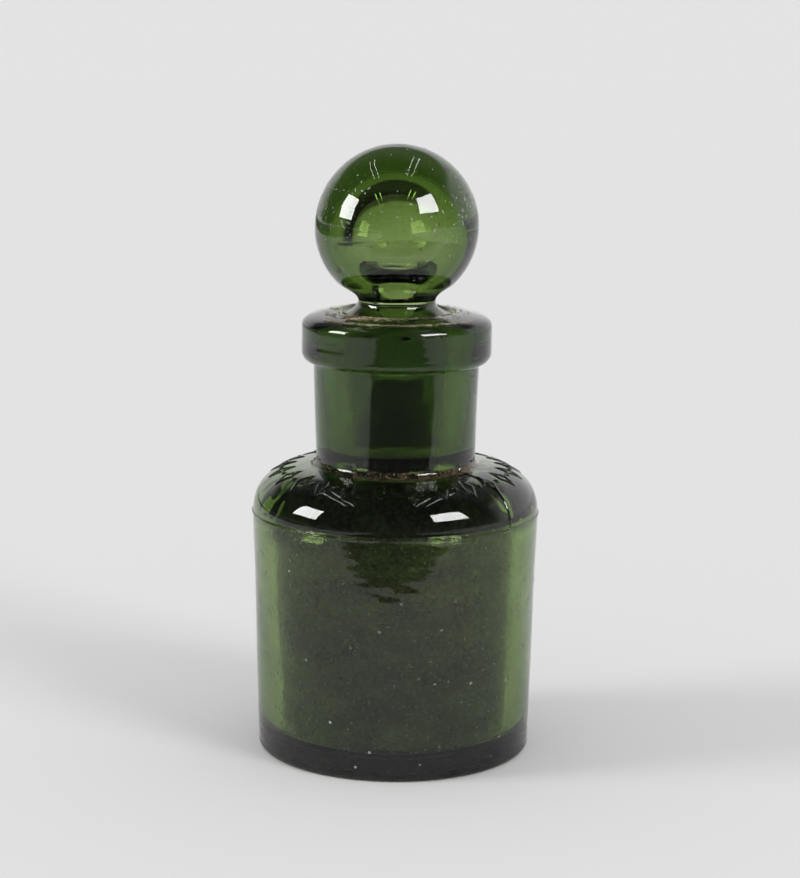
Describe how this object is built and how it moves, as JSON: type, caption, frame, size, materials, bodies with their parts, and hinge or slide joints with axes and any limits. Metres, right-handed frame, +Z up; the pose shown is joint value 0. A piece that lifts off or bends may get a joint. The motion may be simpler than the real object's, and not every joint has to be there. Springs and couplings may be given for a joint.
{
  "type": "glass apothecary vial with ball stopper",
  "caption": "Small round apothecary vial in thick green glass, with a short neck, a heavy rolled lip and a hollow ball stopper ground to fit the mouth.",
  "frame": {"origin": "middle of the base, on the surface that the vial stands on", "axes": "+Z up along the vial's own axis, through the neck and the ball of the stopper; +X points to the vial's right as seen from its front, -Y; one upright mould seam lies 38 degrees forward of +X and the other opposite it"},
  "size_m": [0.0428, 0.0428, 0.0906],
  "materials": {
    "bottle_glass": "gloss",
    "stopper_glass": "gloss",
    "dried_residue": "matte"
  },
  "bodies": {
    "bottle": {"bottle": "bottle_glass"},
    "stopper": {"ball_stopper": "stopper_glass"}
  },
  "joints": [
    {"name": "stopper_lift", "type": "slide", "parent": "bottle", "child": "stopper", "axis": [0, 0, 1], "range_m": [0, 0.03]}
  ]
}
